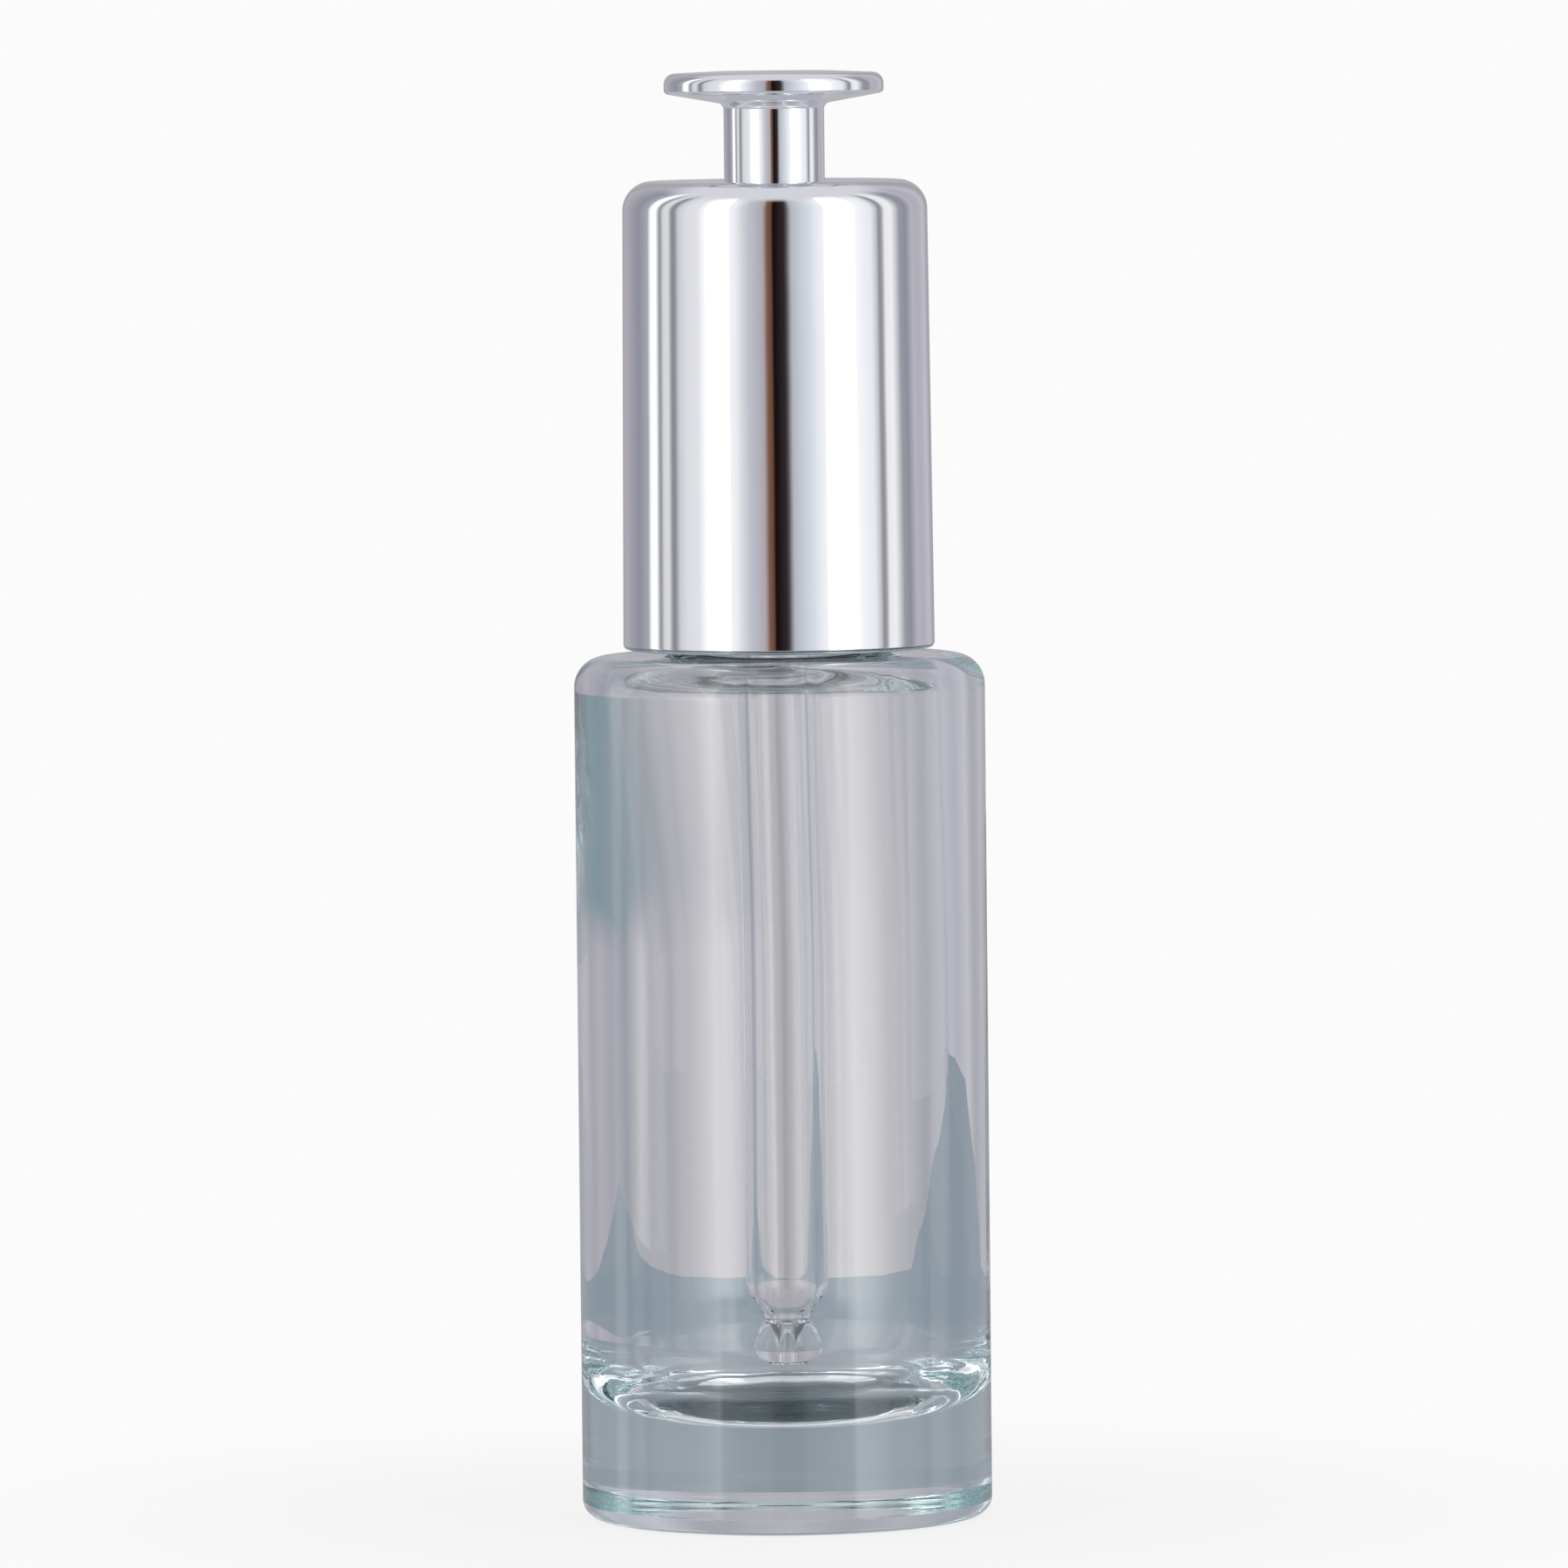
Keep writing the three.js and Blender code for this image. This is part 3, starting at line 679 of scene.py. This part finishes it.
# The wire's place at each share of its length: it climbs little over the closed first and last
# turns, and evenly between them.
along = node(tree, "GeometryNodeSplineParameter").outputs["Factor"]
end_share = coil["Closed share"]
turned_by = node(tree, "ShaderNodeMath", {0: along, 1: coil["Turns"]}, operation="MULTIPLY").outputs[0]
angle = node(tree, "ShaderNodeMath", {0: turned_by, 1: 2 * math.pi}, operation="MULTIPLY").outputs[0]
foot = node(
    tree, "ShaderNodeMath", {0: along, 1: end_share}, operation="DIVIDE", use_clamp=True
).outputs[0]
head_start = node(tree, "ShaderNodeMath", {0: 1, 1: end_share}, operation="SUBTRACT").outputs[0]
past = node(tree, "ShaderNodeMath", {0: along, 1: head_start}, operation="SUBTRACT").outputs[0]
head = node(
    tree, "ShaderNodeMath", {0: past, 1: end_share}, operation="DIVIDE", use_clamp=True
).outputs[0]
both_ends = node(tree, "ShaderNodeMath", {0: 2, 1: end_share}, operation="MULTIPLY").outputs[0]
open_share = node(tree, "ShaderNodeMath", {0: 1, 1: both_ends}, operation="SUBTRACT").outputs[0]
opened = node(tree, "ShaderNodeMath", {0: along, 1: end_share}, operation="SUBTRACT").outputs[0]
open_span = {0: opened, 1: open_share}
middle = node(tree, "ShaderNodeMath", open_span, operation="DIVIDE", use_clamp=True).outputs[0]
ended = node(tree, "ShaderNodeMath", {0: foot, 1: head}, operation="ADD").outputs[0]
closed = node(
    tree, "ShaderNodeMath", {0: coil["Closed rise"], 1: ended}, operation="MULTIPLY"
).outputs[0]
both_rises = node(
    tree, "ShaderNodeMath", {0: 2, 1: coil["Closed rise"]}, operation="MULTIPLY"
).outputs[0]
free = node(tree, "ShaderNodeMath", {0: coil["Length"], 1: both_rises}, operation="SUBTRACT").outputs[0]
opening = node(tree, "ShaderNodeMath", {0: free, 1: middle}, operation="MULTIPLY").outputs[0]
climbed = node(tree, "ShaderNodeMath", {0: closed, 1: opening}, operation="ADD").outputs[0]
rise = node(tree, "ShaderNodeMath", {0: climbed, 1: coil["Foot height"]}, operation="ADD").outputs[0]
cosine = node(tree, "ShaderNodeMath", {0: angle}, operation="COSINE").outputs[0]
sine = node(tree, "ShaderNodeMath", {0: angle}, operation="SINE").outputs[0]
across = node(
    tree, "ShaderNodeMath", {0: coil["Coil radius"], 1: cosine}, operation="MULTIPLY"
).outputs[0]
back = node(tree, "ShaderNodeMath", {0: coil["Coil radius"], 1: sine}, operation="MULTIPLY").outputs[0]
spot = node(tree, "ShaderNodeCombineXYZ", {"X": across, "Y": back, "Z": rise})
wound = node(tree, "GeometryNodeSetPosition", {
    "Geometry": steps.outputs[0], "Position": spot.outputs[0],
})
section = node(tree, "GeometryNodeCurvePrimitiveCircle", {
    "Resolution": 16, "Radius": coil["Wire radius"],
})
wire = node(tree, "GeometryNodeCurveToMesh", {
    "Curve": wound.outputs[0], "Profile Curve": section.outputs[0], "Fill Caps": True,
})
smooth_wire = node(tree, "GeometryNodeSetShadeSmooth", {"Geometry": wire.outputs[0]})
real_wire = node(tree, "GeometryNodeRealizeInstances", {"Geometry": smooth_wire.outputs[0]})
painted_wire = node(tree, "GeometryNodeSetMaterial", {
    "Geometry": real_wire.outputs[0], "Material": spring_wire,
})
node(tree, "NodeGroupOutput", {"Geometry": painted_wire.outputs[0]})
spring = bpy.data.objects.new("return_spring_coil", bpy.data.meshes.new("return_spring_coil"))
bpy.context.scene.collection.objects.link(spring)
grown(spring, tree, spring_sizes)
dress(spring, spring_wire, "spring_steel", "closure", "return_spring")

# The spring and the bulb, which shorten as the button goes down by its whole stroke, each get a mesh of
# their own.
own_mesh(spring)
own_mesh(bulb)


# --- Plunger --------------------------------------------------------------------------------------
# A moulded acetal disc that presses the bulb. Its post is pushed up into the button's hollow stem.

# Acetal, injection-moulded: ivory white, dense and slick, with a soft sheen.
acetal, tree, shader = finish("white_acetal")
shader.inputs["IOR"].default_value = 1.48
place = node(tree, "ShaderNodeTexCoord")
cloud = node(tree, "ShaderNodeTexNoise", {"Vector": place.outputs["Object"], "Scale": 500, "Detail": 3})
ivory = node(tree, "ShaderNodeMix", {
    0: cloud.outputs[0], 6: linear("ecebe4"), 7: linear("f6f5f0"),
}, data_type="RGBA")
tree.links.new(ivory.outputs[2], shader.inputs["Base Color"])
sheen = node(tree, "ShaderNodeMapRange", {0: cloud.outputs[0], 3: 0.24, 4: 0.36})
tree.links.new(sheen.outputs[0], shader.inputs["Roughness"])

plunger_low, plunger_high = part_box("plunger")
pad_foot = plunger_low.z / MM
plunger_foot = pad_foot + 0.5
post_top = plunger_high.z / MM
plunger_r = plunger_high.x / MM
post_r = 2.9
plunger = turned("plunger", rounded([
    (0, pad_foot, 0),
    (5.4, pad_foot, 0.3),
    (5.4, plunger_foot, 0.1),
    (plunger_r, plunger_foot, 0.25),
    (plunger_r, plunger_foot + 1.6, 0.3),
    (post_r, plunger_foot + 1.6, 0.3),
    (post_r, post_top, 0.5),
    (0, post_top, 0),
]), around=128)
dress(plunger, acetal, "white_acetal", "pusher", "plunger")


# --- Plated shell ---------------------------------------------------------------------------------
# A drafted ABS cup, injection-moulded and then nickel-chromium plated to a mirror. It slides down
# over the cap and hides all of the works; the button's stem comes up through the hole in its head.

# Bright chrome on ABS: a near-mirror, very slightly cool, whose reflections waver a little where the
# moulding under the plate has sunk, over lengths of 5 to 10 mm.
chrome, tree, shader = finish("bright_chrome_plate")
shader.inputs["Metallic"].default_value = 1
place = node(tree, "ShaderNodeTexCoord")
film = node(tree, "ShaderNodeTexNoise", {"Vector": place.outputs["Object"], "Scale": 60, "Detail": 2})
tone = node(tree, "ShaderNodeMix", {
    0: film.outputs[0], 6: linear("f0f0f3"), 7: linear("f6f6f8"),
}, data_type="RGBA")
tree.links.new(tone.outputs[2], shader.inputs["Base Color"])
buffed = node(tree, "ShaderNodeTexNoise", {"Vector": place.outputs["Object"], "Scale": 700, "Detail": 4})
gloss = node(tree, "ShaderNodeMapRange", {0: buffed.outputs[0], 1: 0.3, 2: 0.8, 3: 0.01, 4: 0.035})
tree.links.new(gloss.outputs[0], shader.inputs["Roughness"])
sink = node(tree, "ShaderNodeTexNoise", {"Vector": place.outputs["Object"], "Scale": 120, "Detail": 1})
waver = node(tree, "ShaderNodeBump", {"Height": sink.outputs[0], "Strength": 0.04, "Distance": 0.0004})
tree.links.new(waver.outputs[0], shader.inputs["Normal"])

shell_low, shell_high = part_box("outer_shell")
shell_foot = shell_low.z / MM
shell_top = shell_high.z / MM
shell_foot_r = shell_high.x / MM
shell_head_r = shell_foot_r - 0.32
shell_wall = 1.2
head_wall = 1.3
stem_hole_r = 4.48
shell = turned("plated_shell", rounded([
    (shell_foot_r - shell_wall, shell_foot, 0.45),
    (shell_foot_r, shell_foot, 0.45),
    (shell_head_r, shell_top - 0.12, 2.5),
    (stem_hole_r, shell_top, 0.25),
    (stem_hole_r, shell_top - head_wall, 0.15),
    (shell_head_r - shell_wall, shell_top - head_wall, 1.2),
], ring=True), ring=True, around=256)
dress(shell, chrome, "chrome_plating", "closure", "outer_shell")


# --- Guide bush -----------------------------------------------------------------------------------
# A flanged polypropylene sleeve welded under the shell's head. The stem slides in it, and its lower
# end stops the plunger.

bush_low, bush_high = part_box("guide_bush")
bush_foot = bush_low.z / MM
bush_top = bush_high.z / MM
bush = turned("guide_bush", rounded([
    (4.4, bush_foot, 0.2),
    (5.8, bush_foot, 0.25),
    (5.8, bush_top - 1.5, 0.4),
    (bush_high.x / MM, bush_top - 1.5, 0.25),
    (bush_high.x / MM, bush_top, 0.25),
    (4.4, bush_top, 0.2),
], ring=True), ring=True, around=128)
dress(bush, polypropylene, "white_polypropylene", "closure", "guide_bush")


# --- Button ---------------------------------------------------------------------------------------
# One ABS moulding, plated like the shell: a disc with a full round rim and a shallow cone beneath,
# on a hollow stem that takes the plunger's post.

button_low, button_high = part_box("button")
button_top = button_high.z / MM
stem_foot = button_low.z / MM
button_r = button_high.x / MM
stem_r = 4.28
button = turned("plated_button", rounded([
    (0, button_top - 1.4, 0),
    (3.0, button_top - 1.4, 0.3),
    (3.0, stem_foot, 0.2),
    (stem_r, stem_foot, 0.3),
    (stem_r, button_top - 2.8, 0.55),
    (button_r - 0.3, button_top - 1.95, 0.4),
    (button_r, button_top - 1.75, 0.3),
    (button_r, button_top - 0.2, 0.95),
    (4.7, button_top, 16),
    (0, button_top, 0),
]), around=256)
dress(button, chrome, "chrome_plating", "pusher", "button")


# --- Studio ---------------------------------------------------------------------------------------
# A pale floor under plain soft light. Two tall softboxes stand to the left and right in front, with
# the dark gap for the camera between them, and a pale lilac-grey backdrop hangs behind.

# What surrounds the bottle, from straight in front round to straight behind, once for each side of
# it: (angle in degrees, colour, brightness). Brightness over 1 is a lamp.
left_side = [
    (0, "1c1213", 1.0),
    (2, "1c1213", 1.0),
    (3, "68483a", 1.0),
    (6.5, "7f5f4e", 1.0),
    (9.5, "b8acad", 1.0),
    (15, "bbbec8", 1.0),
    (20.5, "c7cad2", 1.0),
    (26, "e0e2e7", 1.0),
    (31, "f8f9fd", 1.0),
    (35, "ffffff", 1.0),
    (38, "ffffff", 2.4),
    (44, "ffffff", 1.7),
    (50, "ffffff", 1.3),
    (57, "ffffff", 1.0),
    (61, "ebecf0", 1.0),
    (71, "e4e6eb", 1.0),
    (78, "d3d4d8", 1.0),
    (82, "929498", 1.0),
    (85, "8e9094", 1.0),
    (89, "e3e4e6", 1.0),
    (94, "dcdde1", 1.0),
    (97, "9c9ea1", 1.0),
    (99, "a5a7aa", 1.0),
    (103, "ffffff", 1.2),
    (108, "ffffff", 1.2),
    (113, "abaeb6", 1.0),
    (126, "9395a1", 1.0),
    (140, "a5a4ad", 1.0),
    (156, "b4b1b9", 1.0),
    (168, "a8a6ad", 1.0),
    (173, "b1afb6", 1.0),
    (180, "bbb9bf", 1.0),
]
right_side = [
    (0, "1c1213", 1.0),
    (6.5, "332c2e", 1.0),
    (8.5, "5d5759", 1.0),
    (12, "b9bec6", 1.0),
    (20, "d1d7e1", 1.0),
    (26, "dee4eb", 1.0),
    (31, "f0f3f9", 1.0),
    (37, "ffffff", 1.0),
    (40, "ffffff", 2.8),
    (48, "ffffff", 2.5),
    (56, "ffffff", 1.9),
    (63, "ffffff", 1.05),
    (69, "fafcff", 1.0),
    (77, "f2f4f9", 1.0),
    (82, "cbcdd1", 1.0),
    (85, "919397", 1.0),
    (88, "a3a5a9", 1.0),
    (91, "f3f3f6", 1.0),
    (98, "f9fafc", 1.0),
    (102, "dbdce1", 1.0),
    (108, "9fa1a7", 1.0),
    (116, "93949f", 1.0),
    (126, "bbbbc5", 1.0),
    (136, "b5b4be", 1.0),
    (150, "c5c3cb", 1.0),
    (162, "a6a5ae", 1.0),
    (168, "a9a8b0", 1.0),
    (173, "b3b1b8", 1.0),
    (180, "b9b7bd", 1.0),
]
world = bpy.data.worlds.new("studio")
bpy.context.scene.world = world
world.use_nodes = True
tree = world.node_tree
tree.nodes.clear()
toward = node(tree, "ShaderNodeTexCoord")
axes = node(tree, "ShaderNodeSeparateXYZ", {0: toward.outputs["Generated"]}).outputs
in_front = node(tree, "ShaderNodeMath", {0: axes["Y"], 1: -1.0}, operation="MULTIPLY")
compass = node(tree, "ShaderNodeMath", {0: axes["X"], 1: in_front.outputs[0]}, operation="ARCTAN2")
from_front = node(tree, "ShaderNodeMath", {0: compass.outputs[0]}, operation="ABSOLUTE")
share = node(tree, "ShaderNodeMapRange", {0: from_front.outputs[0], 2: math.pi})
brightest = max(level for angle, colour, level in left_side + right_side)
sides = []
for side in (left_side, right_side):
    bands = node(tree, "ShaderNodeValToRGB", {0: share.outputs[0]})
    ramp = bands.color_ramp
    ramp.elements.remove(ramp.elements[1])
    for k, (angle, colour, level) in enumerate(side):
        stop = ramp.elements[0] if k == 0 else ramp.elements.new(angle / 180)
        stop.position = angle / 180
        stop.color = [c * level / brightest for c in linear(colour)[:3]] + [1]
    lit = node(tree, "ShaderNodeVectorMath", {0: bands.outputs[0], "Scale": brightest}, operation="SCALE")
    sides.append(lit)
on_right = node(tree, "ShaderNodeMath", {0: axes["X"], 1: 0.0}, operation="GREATER_THAN")
level_around = node(tree, "ShaderNodeMix", {
    0: on_right.outputs[0], 6: sides[0].outputs[0], 7: sides[1].outputs[0],
}, data_type="RGBA")

# The softboxes fade out from 37 to 58 degrees up, where the studio's pale ceiling takes over.
ceiling_share = node(tree, "ShaderNodeMapRange", {
    0: axes["Z"], 1: 0.6, 2: 0.85,
}, interpolation_type="SMOOTHSTEP")
room = node(tree, "ShaderNodeMix", {
    0: ceiling_share.outputs[0], 6: level_around.outputs[2], 7: linear("dcdde2"),
}, data_type="RGBA")

# Below the horizon the room goes on as a pale lilac floor. Between the two the glass also sees a low
# band of the room's dim grey-green end, which tints the bottle's upper left edge.
ray = node(tree, "ShaderNodeLightPath")
dim_band = node(tree, "ShaderNodeMapRange", {
    0: axes["Z"], 1: -0.12, 2: -0.2,
}, interpolation_type="SMOOTHSTEP")
dim_share = node(tree, "ShaderNodeMath", {
    0: dim_band.outputs[0], 1: ray.outputs["Is Transmission Ray"],
}, operation="MULTIPLY")
dimmed = node(tree, "ShaderNodeMix", {
    0: dim_share.outputs[0], 6: room.outputs[2], 7: linear("7f949b"),
}, data_type="RGBA")
ground_share = node(tree, "ShaderNodeMapRange", {
    0: axes["Z"], 1: -0.22, 2: -0.28,
}, interpolation_type="SMOOTHSTEP")
surroundings = node(tree, "ShaderNodeMix", {
    0: ground_share.outputs[0], 6: dimmed.outputs[2], 7: linear("b9bcc3"),
}, data_type="RGBA")
studio_light = node(tree, "ShaderNodeBackground", {"Color": surroundings.outputs[2], "Strength": 1.0})
paper = node(tree, "ShaderNodeBackground", {"Color": linear("fbfbfb"), "Strength": 1.0})
seen = node(tree, "ShaderNodeMixShader", {
    0: ray.outputs["Is Camera Ray"], 1: studio_light.outputs[0], 2: paper.outputs[0],
})
node(tree, "ShaderNodeOutputWorld", {"Surface": seen.outputs[0]})


def plate(name, outline, height):
    """A flat sheet of the studio, which isn't part of the bottle."""
    mesh = bpy.data.meshes.new(name)
    mesh.from_pydata([(x, y, height) for x, y in outline], [], [range(len(outline))])
    sheet = bpy.data.objects.new(name, mesh)
    bpy.context.scene.collection.objects.link(sheet)
    return sheet


# The floor that shows: white paper, which takes a soft shadow close to the bottle and melts into
# the pale surroundings further off.
floor_paper, tree, shader = finish("floor_paper")
shader.inputs["Base Color"].default_value = linear("f4f4f4")
shader.inputs["Roughness"].default_value = 0.9
place = node(tree, "ShaderNodeTexCoord")
floor_distance = node(tree, "ShaderNodeVectorMath", {0: place.outputs["Object"]}, operation="LENGTH")
glow_share = node(tree, "ShaderNodeMapRange", {
    0: floor_distance.outputs["Value"], 1: 0.02, 2: 0.1, 3: 0.85,
}, interpolation_type="SMOOTHSTEP")
floor_glow = node(tree, "ShaderNodeEmission", {"Color": linear("fbfbfb"), "Strength": 1.0})
melted = node(tree, "ShaderNodeMixShader", {
    0: glow_share.outputs[0], 1: shader.outputs[0], 2: floor_glow.outputs[0],
})
tree.links.new(melted.outputs[0], tree.nodes["Material Output"].inputs["Surface"])
floor = plate("floor", [(-3, -3), (3, -3), (3, 3), (-3, 3)], -0.00002)
floor.data.materials.append(floor_paper)
floor.visible_transmission = False
floor.visible_glossy = False
floor.visible_diffuse = False
floor.visible_shadow = False

# The table, which shows only through the glass: grey-green acrylic that glows instead of being lit, with
# a painted shadow under the bottle. Its far edge, 0.21 m behind the bottle, is the horizon inside the
# glass, and its corner lies further back on the right.
table_acrylic, tree, _ = finish("table_acrylic")
place = node(tree, "ShaderNodeTexCoord")
mottle = node(tree, "ShaderNodeTexNoise", {"Vector": place.outputs["Object"], "Scale": 14, "Detail": 2})
near_tint = node(tree, "ShaderNodeMix", {
    0: mottle.outputs[0], 6: linear("8f96a0"), 7: linear("979fa8"),
}, data_type="RGBA")
table_distance = node(tree, "ShaderNodeVectorMath", {0: place.outputs["Object"]}, operation="LENGTH")
far_share = node(tree, "ShaderNodeMapRange", {0: table_distance.outputs["Value"], 1: 0.06, 2: 0.16})
far_tint = node(tree, "ShaderNodeMix", {
    0: far_share.outputs[0], 6: near_tint.outputs[2], 7: linear("87949e"),
}, data_type="RGBA")
# Painted shadow under the bottle: within 18.5 mm of its axis the table's glow darkens to a deep
# grey-green, darkest inside 13 mm.
painted_shadow_share = node(tree, "ShaderNodeMapRange", {
    0: table_distance.outputs["Value"], 1: 0.0185, 2: 0.013,
}, interpolation_type="SMOOTHSTEP")
painted_shadow_tint = node(tree, "ShaderNodeMix", {
    0: painted_shadow_share.outputs[0], 6: far_tint.outputs[2], 7: linear("3d494f"),
}, data_type="RGBA")
table_glow = node(tree, "ShaderNodeEmission", {"Color": painted_shadow_tint.outputs[2]})
tree.links.new(table_glow.outputs[0], tree.nodes["Material Output"].inputs["Surface"])
table_outline = [
    (-0.26, -0.018), (0.45, -0.018), (0.45, 0.25), (0.383, 0.321), (0.283, 0.368),
    (0.126, 0.318), (0.07, 0.2526), (0.0525, 0.2185), (0.02, 0.213), (-0.26, 0.213),
]
table = plate("table", table_outline, -0.00004)
table.data.materials.append(table_acrylic)
table.visible_camera = False
table.visible_glossy = False
table.visible_diffuse = False
table.visible_shadow = False

# The camera stands 1.18 m in front of the bottle, 0.134 m above the floor, and looks a little down.
camera_data = bpy.data.cameras.new("camera")
camera = bpy.data.objects.new("camera", camera_data)
bpy.context.scene.collection.objects.link(camera)
camera_data.sensor_width = 36
camera_data.lens = 317.6
camera_data.clip_start = 0.05
camera_data.clip_end = 20
camera_place = (0.0003, -1.177, 0.134)
camera_dip = math.radians(3.473)
camera_roll = math.radians(-0.57)
aim = Euler((math.radians(90) - camera_dip, 0, 0)).to_matrix() @ Euler((0, 0, camera_roll)).to_matrix()
camera.matrix_world = Matrix.Translation(camera_place) @ aim.to_4x4()
bpy.context.scene.camera = camera

scene = bpy.context.scene
scene.view_settings.view_transform = "Standard"
scene.cycles.max_bounces = 128
scene.cycles.transmission_bounces = 128
scene.cycles.glossy_bounces = 64
scene.cycles.diffuse_bounces = 3
scene.cycles.sample_clamp_indirect = 8
